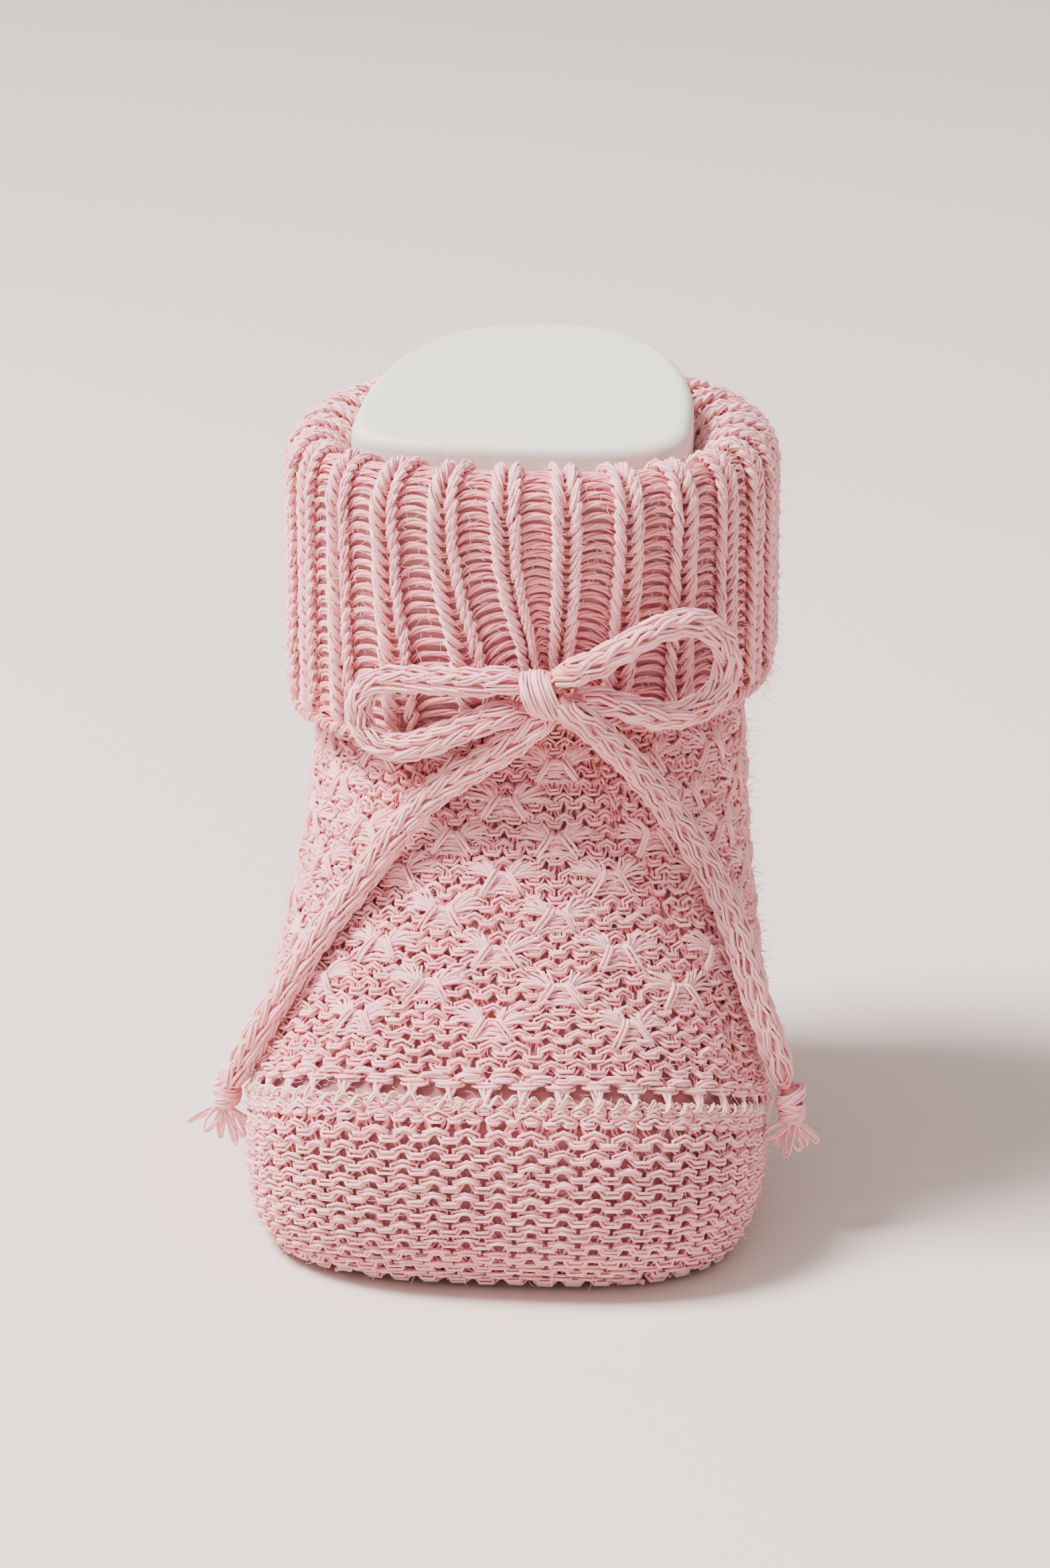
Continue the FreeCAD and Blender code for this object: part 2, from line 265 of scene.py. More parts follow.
def leg_skin():
    """The cuff from its free edge up, over the fold and down inside the leg.

    Its heights are millimetres along the rib, from 1 mm below the free edge's lowest point.
    The heights above the floor where it starts and where its fold begins come with it.
    """
    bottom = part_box("cuff_edge")[0].z / MM - 1.0
    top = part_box("cuff")[1].z / MM
    inside_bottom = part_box("ankle_stand")[0].z / MM
    shoulder = top - FOLD_RISE - FOLD_CLEARANCE
    outline_at = shoulder - OUTLINE_DROP
    outside = evenly_spaced(level_row(tree_of("cuff"), outline_at))
    inside = evenly_spaced(level_row(tree_of("ankle_stand"), outline_at, from_inside=True))
    rows = [with_height(outside, z) for z in np.arange(bottom, shoulder, 1.0)]
    for turn in np.linspace(0, math.pi, FOLD_STEPS):
        mix = (1 - math.cos(turn)) / 2
        rows.append(with_height(outside * (1 - mix) + inside * mix,
                                shoulder + FOLD_RISE * math.sin(turn)))
    rows += [with_height(inside, z) for z in np.arange(shoulder - 1, inside_bottom, -1.0)]
    steps = [np.linalg.norm(b - a, axis=1).mean() for a, b in zip(rows, rows[1:])]
    return Skin(rows, np.concatenate([[0], np.cumsum(steps)])), bottom, shoulder


def with_height(ring, height):
    return np.column_stack([ring[:, 0], ring[:, 1], np.full(len(ring), height)])


def share_of(points):
    """The share of the way round the foot of points in millimetres, by their direction."""
    turn = np.arctan2(-points[:, 0], points[:, 1] - LEG_MIDDLE_Y)
    return np.mod(turn / (2 * math.pi), 1.0)


# ---------------------------------------------------------------- strands of yarn
class Skein:
    """The fine strands of one piece, gathered and then made into one mesh of tubes."""

    def __init__(self, seed):
        self.random = np.random.default_rng(seed)
        self.strands = []

    def strand(self, points, closed=False, shade=1.0, thickness=1.0):
        """One strand. Its shade runs from 0, full painted shade between stitches, to 1, its own
        colour on the surface.
        """
        count = len(points)
        shade = np.broadcast_to(np.clip(shade, 0, 1), count)
        thickness = np.broadcast_to(thickness, count)
        tone = np.full(count, self.random.uniform(0, 1))
        self.strands.append((points, closed, shade, tone, thickness))

    def yarn(self, points, normals, closed=False, shade=1.0, strands=3, spread=0.27,
             flat=0.75, turns=0.04, thickness=1.0):
        """A yarn: several strands side by side that twist slowly round its middle line."""
        ahead = np.roll(points, -1, 0) - np.roll(points, 1, 0) if closed else \
            np.gradient(points, axis=0)
        side = unit(np.cross(ahead, normals))
        lift = unit(np.cross(side, ahead))
        count = len(points)
        whole_turns = round(turns * count) if closed else turns * count
        turn = self.random.uniform(0, 2 * math.pi) + \
            np.arange(count) / count * whole_turns * 2 * math.pi
        for k in range(strands):
            angle = turn + 2 * math.pi * k / strands + self.random.uniform(-0.4, 0.4)
            reach = spread * (1 + 0.28 * self.drift(count, 5, closed))
            offset = side * (reach * np.cos(angle))[:, None] \
                + lift * (reach * flat * np.sin(angle))[:, None]
            self.strand(points + offset, closed, shade,
                        thickness * self.random.uniform(0.88, 1.12))

    def drift(self, count, step, closed=False):
        """A smooth random line from -1 to 1, which changes every few points."""
        knots = self.random.uniform(-1, 1, count // step + 2)
        if closed:
            knots[-1] = knots[0]
            at = np.arange(count) / count * (len(knots) - 1)
        else:
            at = np.arange(count) / step
        low = np.minimum(at.astype(int), len(knots) - 2)
        share = at - low
        share = share * share * (3 - 2 * share)
        return knots[low] * (1 - share) + knots[low + 1] * share

    def mesh(self, name, strand_radius):
        """All strands as four-sided tubes, closed at their ends."""
        curve = bpy.data.curves.new(name, "CURVE")
        curve.dimensions = "3D"
        curve.bevel_depth = strand_radius * MM
        curve.bevel_resolution = 0
        for points, closed, _, _, thickness in self.strands:
            spline = curve.splines.new("POLY")
            spline.points.add(len(points) - 1)
            spline.points.foreach_set("co", np.column_stack(
                [points * MM, np.ones(len(points))]).astype(np.float32).ravel())
            spline.points.foreach_set("radius", thickness.astype(np.float32))
            spline.use_cyclic_u = closed
        holder = bpy.data.objects.new(name, curve)
        mesh = bpy.data.meshes.new_from_object(holder)
        bpy.data.objects.remove(holder)
        bpy.data.curves.remove(curve)
        total = sum(len(s[0]) for s in self.strands)
        sides = len(mesh.vertices) // total
        if sides * total != len(mesh.vertices):
            raise RuntimeError(f"{name}: its tubes don't match its strands")
        # Each strand's painted shade and its random tone, read by the cotton material.
        for label, k in (("shade", 2), ("tone", 3)):
            values = np.concatenate([s[k] for s in self.strands]).astype(np.float32)
            attribute = mesh.attributes.new(label, "FLOAT", "POINT")
            attribute.data.foreach_set("value", np.repeat(values, sides))
        while mesh.uv_layers:
            mesh.uv_layers.remove(mesh.uv_layers[0])
        if not all(s[1] for s in self.strands):
            work = bmesh.new()
            work.from_mesh(mesh)
            rims = [e for e in work.edges if e.is_boundary]
            bmesh.ops.holes_fill(work, edges=rims, sides=sides)
            work.to_mesh(mesh)
            work.free()
        return mesh


def loop_line(stitches, tall, relief, closed, points=STITCH_POINTS, lean=STITCH_LEAN):
    """A course of knitting: stitches along, rows up and millimetres out at each point.

    A positive relief brings heads and feet forward, the purl side; a negative one the legs.
    """
    count = stitches * points + (0 if closed else 1)
    turn = np.arange(count) * 2 * math.pi / points
    along = turn / (2 * math.pi) + lean * np.sin(2 * turn)
    return along, tall * np.cos(turn), relief * np.cos(2 * turn)


def shade_of(depth, painted_shade=-1.0, full=0.15):
    """How far a point is out of the painted shade between the stitches: at the first depth the
    yarn takes the full painted shade colour, at the second and above its own colour.
    """
    return np.clip((depth - painted_shade) / (full - painted_shade), 0, 1)


# ---------------------------------------------------------------- materials
def node_material(name):
    material = bpy.data.materials.new(name)
    material.use_nodes = True
    tree = material.node_tree
    shader = next(n for n in tree.nodes if n.type == "BSDF_PRINCIPLED")
    return material, tree, shader


def noise(tree, scale, detail=2.0):
    coordinates = tree.nodes.new("ShaderNodeTexCoord")
    texture = tree.nodes.new("ShaderNodeTexNoise")
    texture.inputs["Scale"].default_value = scale
    texture.inputs["Detail"].default_value = detail
    tree.links.new(coordinates.outputs["Object"], texture.inputs["Vector"])
    return texture.outputs["Fac"]


def blended(tree, factor, first, second, kind="MIX", amount=1.0):
    """A colour mix; a colour may be a socket or plain numbers."""
    mix = tree.nodes.new("ShaderNodeMix")
    mix.data_type = "RGBA"
    mix.blend_type = kind
    mix.inputs["Factor"].default_value = amount
    if factor is not None:
        tree.links.new(factor, mix.inputs["Factor"])
    for value, socket in ((first, mix.inputs["A"]), (second, mix.inputs["B"])):
        if isinstance(value, bpy.types.NodeSocket):
            tree.links.new(value, socket)
        else:
            socket.default_value = value
    return mix.outputs["Result"]


def stretched(tree, value, low, high, to_low, to_high):
    """A number moved from one range to another."""
    node = tree.nodes.new("ShaderNodeMapRange")
    for name, number in (("From Min", low), ("From Max", high),
                         ("To Min", to_low), ("To Max", to_high)):
        node.inputs[name].default_value = number
    tree.links.new(value, node.inputs["Value"])
    return node.outputs["Result"]


def bumped(tree, shader, height, distance, strength):
    bump = tree.nodes.new("ShaderNodeBump")
    bump.inputs["Distance"].default_value = distance
    bump.inputs["Strength"].default_value = strength
    tree.links.new(height, bump.inputs["Height"])
    tree.links.new(bump.outputs["Normal"], shader.inputs["Normal"])


def attribute(tree, name):
    node = tree.nodes.new("ShaderNodeAttribute")
    node.attribute_name = name
    return node.outputs["Fac"]


def cotton(name, light, painted_shade):
    """Soft cotton: its own paler colour on top of the stitches, a painted shade colour between
    them, each strand a little different.
    """
    material, tree, shader = node_material(name)
    # Painted shade: the shade attribute mixes from the shade colour between the stitches to the
    # yarn's own colour on top.
    colour = blended(tree, attribute(tree, "shade"), painted_shade, light)
    strand_tone = stretched(tree, attribute(tree, "tone"), 0, 1, 0.90, 1.06)
    patch_tone = stretched(tree, noise(tree, 55.0), 0.3, 0.7, 0.95, 1.04)
    for tone in (strand_tone, patch_tone):
        colour = blended(tree, None, colour, tone, kind="MULTIPLY")
    tree.links.new(colour, shader.inputs["Base Color"])
    shader.inputs["Roughness"].default_value = 0.86
    shader.inputs["Specular IOR Level"].default_value = 0.25
    shader.inputs["Sheen Weight"].default_value = 0.16
    shader.inputs["Sheen Roughness"].default_value = 0.45
    shader.inputs["Sheen Tint"].default_value = (1.0, 0.84, 0.82, 1)
    bumped(tree, shader, noise(tree, 5200.0, 3.0), 0.00008, 0.6)
    return material


def lining_knit_painted_shade(name, light, painted_shade):
    """The knitting's back, seen between stitches and inside the leg; its darkness is painted
    shade.
    """
    material, tree, shader = node_material(name)
    coordinates = tree.nodes.new("ShaderNodeTexCoord")
    rows = tree.nodes.new("ShaderNodeTexWave")
    rows.bands_direction = "Z"
    rows.inputs["Scale"].default_value = 170.0
    rows.inputs["Distortion"].default_value = 3.0
    rows.inputs["Detail Scale"].default_value = 400.0
    tree.links.new(coordinates.outputs["Object"], rows.inputs["Vector"])
    # Painted shade: the lining is mostly the shade colour, mottled and in rows with the yarn's
    # own colour.
    mottled = blended(tree, noise(tree, 420.0), painted_shade, light)
    colour = blended(tree, rows.outputs["Fac"], painted_shade, mottled)
    tree.links.new(colour, shader.inputs["Base Color"])
    shader.inputs["Roughness"].default_value = 0.95
    shader.inputs["Sheen Weight"].default_value = 0.2
    bumped(tree, shader, rows.outputs["Fac"], 0.0004, 0.8)
    return material


def matt_board(name, colour):
    """The display form: smooth, matt and very slightly uneven."""
    material, tree, shader = node_material(name)
    shade = stretched(tree, noise(tree, 24.0, 4.0), 0.3, 0.7, 0.96, 1.0)
    tree.links.new(blended(tree, None, colour, shade, kind="MULTIPLY"),
                   shader.inputs["Base Color"])
    tree.links.new(stretched(tree, noise(tree, 160.0), 0.3, 0.7, 0.5, 0.62),
                   shader.inputs["Roughness"])
    bumped(tree, shader, noise(tree, 900.0, 4.0), 0.00006, 0.35)
    return material


def pale_floor(name, colour):
    material, tree, shader = node_material(name)
    shade = stretched(tree, noise(tree, 3.0), 0.3, 0.7, 0.985, 1.0)
    tree.links.new(blended(tree, None, colour, shade, kind="MULTIPLY"),
                   shader.inputs["Base Color"])
    shader.inputs["Roughness"].default_value = 0.7
    return material


_made = {}


def finish(kind):
    """The material of that name, made once from the scene's colours."""
    if kind not in _made:
        colours = bpy.context.scene.bootie_colours
        yarn, painted_shade = tuple(colours.yarn), tuple(colours.painted_shade)
        makers = {
            "cotton": lambda: cotton("soft_pink_cotton", yarn, painted_shade),
            "cord": lambda: cotton("pink_cord_cotton", yarn, painted_shade),
            "thread": lambda: cotton("cream_thread", tuple(colours.thread), painted_shade),
            "lining": lambda: lining_knit_painted_shade("knit_lining_painted_shade", yarn, painted_shade),
            "form": lambda: matt_board("white_form_board", tuple(colours.form)),
            "floor": lambda: pale_floor("studio_floor", tuple(colours.floor)),
        }
        _made[kind] = makers[kind]()
    return _made[kind]


def put_in_place(mesh, name, kind, node=None):
    """A finished mesh as a piece of the bootie, standing for its node of the frame."""
    piece = bpy.data.objects.new(name, mesh)
    bpy.context.scene.collection.objects.link(piece)
    mesh.materials.clear()
    mesh.materials.append(finish(kind))
    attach(piece, "bootie")
    if node:
        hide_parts(node)
    return piece


def strand_radius():
    return bpy.context.scene.bootie_knit.strand / MM


def hand_over(skein, name, kind, node=None):
    """A skein's strands as a finished piece."""
    return put_in_place(skein.mesh(name, strand_radius()), name, kind, node)


_skins = {}


def skin_of(kind):
    """The foot's wall, or the leg's, read from the frame once."""
    if kind not in _skins:
        _skins[kind] = foot_skin() if kind == "foot" else leg_skin()
    return _skins[kind]


def lining(place, name, low, high, columns, rows, closed_below=False, turned_in=0.0):
    """A thin closed shell under the yarn, in the lining's painted shade; its top edge may turn in
    by some millimetres.
    """
    work = bmesh.new()
    bmesh.ops.create_grid(work, x_segments=columns, y_segments=rows, size=0.5)
    flat = np.array([v.co for v in work.verts])
    share = flat[:, 0] + 0.5
    height = low + (high - low) * (flat[:, 1] + 0.5)
    places, _ = place(share, height, LINING_DEPTH - turned_in * (flat[:, 1] > 0.49))
    for vertex, where in zip(work.verts, places):
        vertex.co = Vector(where) * MM
    bmesh.ops.remove_doubles(work, verts=work.verts, dist=0.00005)
    if closed_below:
        lowest = min(v.co.z for v in work.verts)
        rim = [e for e in work.edges if e.is_boundary
               and max(v.co.z for v in e.verts) < lowest + 0.0005]
        bmesh.ops.holes_fill(work, edges=rim, sides=0)
    bmesh.ops.recalc_face_normals(work, faces=work.faces)
    bmesh.ops.solidify(work, geom=work.faces[:], thickness=LINING_THICK * MM)
    bmesh.ops.recalc_face_normals(work, faces=work.faces)
    mesh = bpy.data.meshes.new(name)
    work.to_mesh(mesh)
    work.free()
    mesh.polygons.foreach_set("use_smooth", [True] * len(mesh.polygons))
    return put_in_place(mesh, name, "lining")


# ---------------------------------------------------------------- the foot
def sole_width(skin, y):
    """Half the sole's width at each y, a little inside its edge."""
    ring = skin.points[0]
    right = ring[ring[:, 0] > 0]
    order = np.argsort(right[:, 1])
    return np.interp(y, right[order, 1], right[order, 0], left=0, right=0) - 1.7


def knit_sole(settings):
    """Purl rows across the sole, pressed flat against the floor."""
    skin, skein = skin_of("foot"), Skein(11)
    stitch, row = settings.band_stitch / MM, SOLE_ROW
    low, high = skin.points[0][:, 1].min(), skin.points[0][:, 1].max()
    for y in np.arange(high - 2.4, low + 2.0, -row):
        half = float(sole_width(skin, y))
        stitches = int(2 * half / stitch)
        if stitches < 2:
            continue
        along, up, out = loop_line(stitches, 0.76, 0.2, closed=False)
        x = (along / stitches - 0.5) * 2 * half
        depth = out - 0.05 + 0.05 * skein.drift(len(x), STITCH_POINTS)
        points = np.column_stack([x, y - up * row, 0.72 - depth])
        down = np.tile([0.0, 0.0, -1.0], (len(x), 1))
        # Painted shade: the yarn darkens where it lies deeper between the stitches.
        skein.yarn(points, down, shade=shade_of(out, -0.4, 0.2), strands=2, spread=0.25,
                   flat=0.5, thickness=1.15)
    mesh = skein.mesh("sole_knit", strand_radius())
    mesh.vertices.foreach_get("co", lows := np.zeros(len(mesh.vertices) * 3, np.float32))
    lows[2::3] = np.maximum(lows[2::3], 0.0)
    mesh.vertices.foreach_set("co", lows)
    put_in_place(mesh, "sole_knit", "cotton", "sole")


def eyelet_line(skin):
    """The height of the side band's top edge at every column of the foot's wall."""
    ys, tops = np.array(BAND_TOP).T
    above = skin.heights[:, None] - np.interp(skin.points[:, :, 1], ys, tops)
    crossing = [np.interp(0, above[:, c], skin.heights) for c in range(COLUMNS)]
    return np.array(crossing)


def around(values, share):
    """A value known at every column, read at any share of the way round."""
    return np.interp(share, np.arange(COLUMNS + 1) / COLUMNS, np.append(values, values[0]),
                     period=1.0)


def long_runs(inside, least=12):
    """The unbroken runs of a ring of yes or no, as lists of positions in order."""
    if inside.all():
        return [np.arange(len(inside))]
    start = int(np.argmin(inside))
    order = (np.arange(len(inside)) + start) % len(inside)
    runs, run = [], []
    for position in order:
        if inside[position]:
            run.append(position)
        elif run:
            runs.append(run)
            run = []
    return [np.array(r) for r in runs + [run] if len(r) >= least]


def knit_band(settings):
    """The plain band round the foot, reverse side out, in rows that follow its top edge."""
    skin, skein = skin_of("foot"), Skein(12)
    top = eyelet_line(skin)
    row_tall = settings.band_row / MM
    stitches = round(skin.girth(9.0) / (settings.band_stitch / MM))
    for row in range(int((top.max() - 1.0) / row_tall) + 1):
        along, up, out = loop_line(stitches, 0.80, 0.42, closed=True)
        count = len(along)
        along = along + 0.05 * skein.drift(count, STITCH_POINTS, True)
        share = along / stitches
        height = around(top, share) - (row + 0.45 - up + 0.07 * skein.drift(count, 7, True)) \
            * row_tall
        depth = out - 0.25 + 0.10 * skein.drift(count, 11, True)
        crowded = 0.8 + 1.2 * np.exp((np.minimum(height, 2.0) - 2.0) / 1.2)
        points, normals = skin.place(share, np.where(height < 2.0, crowded, height), depth)
        for run in long_runs(height > -0.8):
            closed = len(run) == count
            # Painted shade: the yarn darkens where it lies deeper between the stitches.
            skein.yarn(points[run], normals[run], closed, shade_of(depth[run], -0.95, 0.0),
                       spread=0.33)
    hand_over(skein, "side_band_knit", "cotton", "side_band")


def knit_eyelets():
    """The openwork row: crossed pairs of strands with a hole between each pair and the next."""
    skin, skein = skin_of("foot"), Skein(13)
    base = eyelet_line(skin)
    girth = float(np.mean(skin.girths[EYELET_LEVELS]))
    eyelets = round(girth / EYELET_STEP)

    def course(loops, middle, tall, lift, points, phase=0.0):
        along, up, out = loop_line(loops, tall, 0.40, closed=True, points=points, lean=0.2)
        share = (along + phase) / loops
        height = around(base, share) + middle + up + 0.08 * skein.drift(len(up), 9, True)
        depth = out - 0.3 + lift
        places, normals = skin.place(share, height, depth)
        # Painted shade: the yarn darkens where it lies deeper between the stitches.
        skein.yarn(places, normals, True, shade_of(depth, -0.8, 0.05), spread=0.28)

    course(eyelets * 2, 0.55, 0.75, 0.1, 9)
    course(eyelets * 2, 1.35, 0.55, 0.0, 9, phase=0.5)
    course(eyelets, 3.75, 0.45, 0.15, 14)
    for k in range(eyelets):
        for lean in (-1, 1, -0.35):
            slack = skein.random.uniform(-0.25, 0.25, 2)
            side = np.array([-lean * 0.95, -lean * 0.25, lean * 0.35, lean * 0.75]) + slack[0]
            rise = np.array([0.9, 1.9, 2.9, 3.9])
            depth = np.array([-0.45, 0.15 + 0.1 * lean, 0.1 - 0.1 * lean, -0.35])
            at = np.linspace(0, 3, 9)
            side, rise, depth = (np.interp(at, np.arange(4), v) for v in (side, rise, depth))
            share = (k + 0.5) / eyelets + side / girth
            places, normals = skin.place(share, around(base, share) + rise + 0.3 * slack[1],
                                         depth)
            # Painted shade: the crossed strands darken where they dip into the holes.
            skein.yarn(places, normals, False, shade_of(depth, -0.8, 0.05), strands=2,
                       spread=0.24)
    hand_over(skein, "eyelet_knit", "cotton", "eyelet_row")


def lay_thread():
    """The fine joining thread that runs in and out along the eyelets."""
    skin, skein = skin_of("foot"), Skein(14)
    base = eyelet_line(skin)
    stitches = round(float(np.mean(skin.girths[EYELET_LEVELS])) / THREAD_STITCH)
    turn = np.arange(stitches * 8) * 2 * math.pi / 8
    share = turn / (2 * math.pi) / stitches
    height = around(base, share) + 1.65 + 0.45 * np.sin(turn) \
        + 0.35 * skein.drift(len(turn), 16, True)
    depth = 0.25 + 0.42 * np.cos(turn)
    points, normals = skin.place(share, height, depth)
    # Painted shade: the thread darkens towards the pink shade colour where it dips under the
    # yarn.
    skein.yarn(points, normals, True, shade_of(depth, -1.5, 0.1), strands=2, spread=0.16,
               thickness=0.62)
    hand_over(skein, "thread_run", "thread", "join_thread")


# ---------------------------------------------------------------- instep and side panels
MOTIF_FIRST_ROW = 3.8       # rows of plain knitting before the first line of motifs
MOTIF_HALF = 1.1            # half the distance between a motif's two gathers
GATHER_WIDE, GATHER_TALL = 3.6, 1.5     # how far a motif draws in the knitting
CREASE_WIDE = 2.0           # the groove between the instep and the sides
PANEL_ROW_TALL = 1.8        # one row of a panel, as its motifs count it


def panel_edges(skin):
    """Where the instep panel's two edges lie at any height: two smooth curves of share."""
    tree = tree_of("instep_panel")
    low, high = (corner.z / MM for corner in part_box("instep_panel"))
    heights = np.linspace(low + 3.0, high - 0.3, 22)
    left, right = [], []
    for height in heights:
        middle = Vector((0, LEG_MIDDLE_Y, height)) * MM
        hits = [tree.ray_cast(middle + way_round(c) * RAY_REACH * MM, -way_round(c))[0]
                for c in range(COLUMNS)]
        on_panel = [c for c in range(COLUMNS) if hits[c] is not None
                    and (hits[c] - middle).dot(way_round(c)) > 0]
        ring, _ = skin.place(np.arange(COLUMNS) / COLUMNS, np.full(COLUMNS, height),
                             np.zeros(COLUMNS))
        for edge, column in ((left, on_panel[0]), (right, on_panel[-1])):
            away = np.linalg.norm(ring - np.array(hits[column] / MM), axis=1)
            edge.append(away.argmin() / COLUMNS)
    return np.polynomial.Polynomial.fit(heights, left, 2), \
        np.polynomial.Polynomial.fit(heights, right, 2)


class PanelRows:
    """Rows that start along the eyelets and level out towards the ankle."""

    def __init__(self, skin, rows, narrowing):
        self.skin, self.rows, self.narrowing = skin, rows, narrowing
        self.start = eyelet_line(skin) + EYELET_TALL - 0.2
        front = COLUMNS // 2
        heights = skin.levels(self.start[front], FOOT_HIGH, rows, share=0.5)
        self.climb = (heights - heights[0]) / (heights[-1] - heights[0])

    def height(self, share, row):
        climb = np.interp(row, np.arange(self.rows + 1), self.climb)
        start = around(self.start, share)
        return start + (FOOT_HIGH - start) * climb

    def scale(self, row):
        return 1 / (1 + self.narrowing * row)

    def share(self, across, row):
        """The share of the way round at a distance across, in millimetres at the first row."""
        girth = self.skin.girth(self.height(0.5, row))
        return 0.5 + across * self.scale(row) / girth

    def across(self, share, row):
        girth = self.skin.girth(self.height(0.5, row))
        return (share - 0.5) * girth / self.scale(row)

    def place(self, across, row, depth):
        share = self.share(across, row)
        return self.skin.place(share, self.height(share, row), depth)


def panel_span(rows, row, left, right):
    """How far a row reaches across, from one edge of the panel to the other."""
    def reach(edge):
        share = 0.5
        for _ in range(6):
            share = float(edge(rows.height(share, row)))
        return float(rows.across(share, row))

    return reach(left), reach(right)


def motif_centres(settings, rows, left, right, margin):
    """The lattice of gathered motifs that covers a panel: distance across, and row."""
    centres, line, row = [], 0, MOTIF_FIRST_ROW
    while row < settings.panel_rows - 1.5:
        start, end = panel_span(rows, row, left, right)
        for k in range(-8, 9):
            across = (k + 0.5 * (line % 2)) * settings.motif_width / MM
            if start + margin < across < end - margin:
                centres.append((across, row))
        row += settings.motif_rows
        line += 1
    return centres


def drawn_in(centres, rows, across, row):
    """How the motifs pull a course: its new rows, distances across, and how far it sinks."""
    new_across, new_row, sink = across.copy(), row.copy(), np.zeros(len(across))
    scale = rows.scale(row)
    for centre_across, centre_row in centres:
        da, dr = (across - centre_across) * scale, row - centre_row
        pull = np.exp(-(da / GATHER_WIDE) ** 2 - (dr / GATHER_TALL) ** 2)
        new_row -= 0.36 * dr * pull
        new_across -= 0.08 * da * pull
        sink += 0.30 * pull
    return new_across, new_row, sink


def lay_motif(skein, rows, across, row):
    """One motif: two gathers, each with a crossing bar and a fan, and a low bridge between."""
    def bundle(line, lift, strands, thickness=1.0, spread=0.26, ends=-0.6):
        line = np.array(line, float)
        at = np.linspace(0, len(line) - 1, 8)
        da = np.interp(at, np.arange(len(line)), line[:, 0])
        dh = np.interp(at, np.arange(len(line)), line[:, 1])
        depth = ends + (lift + 0.12 - ends) * np.sin(np.linspace(0.10, 0.90, 8) * math.pi) ** 0.7
        where = row + dh / PANEL_ROW_TALL
        places, normals = rows.place(across + da / rows.scale(row), where, depth)
        # Painted shade: the motif's strands darken towards their sunken ends.
        skein.yarn(places, normals, False, shade_of(depth, -0.8, -0.2), strands=strands,
                   spread=spread, flat=0.35, turns=0.02, thickness=thickness)

    def near(value, amount=0.25):
        return value + skein.random.uniform(-amount, amount)

    size = near(1.0, 0.1) * (0.82 + 0.18 * rows.scale(row) / rows.scale(0))
    for side in (-1, 1):
        x = side * near(MOTIF_HALF, 0.15) * size
        bundle([(x - side * 0.35, near(0.9)), (x, 0.2), (x + side * near(1.5), near(-2.1))],
               0.34, 3, 1.0, 0.34)
        for angle, reach in ((74, 2.6), (56, 3.3), (39, 3.8), (22, 4.1), (6, 4.0)):
            turn = math.radians(near(angle, 6))
            length = near(reach, 0.4) * size
            tip = (x + side * length * math.cos(turn), 0.2 + 0.85 * length * math.sin(turn))
            half_way = ((x + tip[0]) / 2, (0.2 + tip[1]) / 2 + 0.15)
            bundle([(x - side * 0.15, 0.1), half_way, tip], 0.12, 2, 0.92, 0.26)
    bundle([(-MOTIF_HALF, 0.0), (0.0, 0.4), (MOTIF_HALF, 0.0)], 0.05, 3)
    for drop in (-0.55, -1.15, -1.75):
        reach = 1.0 + 0.45 * -drop
        bundle([(-reach, drop), (0.0, drop + 0.2), (reach, drop)], -0.12, 2, 0.92)


def knit_panel(settings, name, node, seed, left, right, creases, margin, strands=3):
    """A panel of purl courses between two edges, with its motifs laid over them."""
    skin, skein = skin_of("foot"), Skein(seed)
    rows = PanelRows(skin, settings.panel_rows, settings.narrowing)
    centres = motif_centres(settings, rows, left, right, margin)
    width = settings.panel_stitch / MM
    for row in range(settings.panel_rows):
        start, end = panel_span(rows, row + 0.5, left, right)
        first = math.floor(start / width)
        stitches = math.ceil(end / width) - first
        along, up, out = loop_line(stitches, 0.84, 0.38, closed=False)
        count = len(along)
        across = (first + along + 0.07 * skein.drift(count, 9)) * width
        level = row + 0.5 + up * (1 + 0.1 * skein.drift(count, 8)) \
            + 0.10 * skein.drift(count, 21)
        inside = (across > start) & (across < end)
        across, level, sink = drawn_in(centres, rows, across, level)
        depth = out - 0.22 - sink + 0.12 * skein.drift(count, 11)
        for crease in creases:
            away = np.abs(across - (start if crease == "left" else end)) * rows.scale(row)
            depth = depth - 0.35 * np.exp(-(away / CREASE_WIDE) ** 2)
        places, normals = rows.place(across, np.clip(level, 0, settings.panel_rows), depth)
        keep = np.where(inside)[0]
        # Painted shade: the yarn darkens where it lies deeper, in the gathers and the creases
        # too.
        skein.yarn(places[keep], normals[keep], False, shade_of(depth[keep], -0.9, 0.25),
                   strands=strands, spread=0.32, thickness=1 if strands > 2 else 1.2)
    for across, row in centres:
        lay_motif(skein, rows, across, row)
    hand_over(skein, name, "cotton", node)


def run_seam():
    """The seam up the heel: two yarns that cross between the edges."""
    skin, skein = skin_of("foot"), Skein(18)
    low, high = (corner.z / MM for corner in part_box("back_seam"))
    turns = round((high - low) / 2.4)
    turn = np.arange(turns * 10 + 1) * 2 * math.pi / 10
    height = low + (high - low) * turn / turn[-1]
    for phase in (0, math.pi):
        side = 0.85 * np.sin(turn + phase)
        depth = -0.1 + 0.4 * np.cos(turn + phase) * np.cos(turn)
        points, normals = skin.place(side / skin.girth(height), height, depth)
        # Painted shade: the seam's yarns darken where they pass under.
        skein.yarn(points, normals, False, shade_of(depth, -0.75, 0.1))
    hand_over(skein, "heel_seam", "cotton", "back_seam")


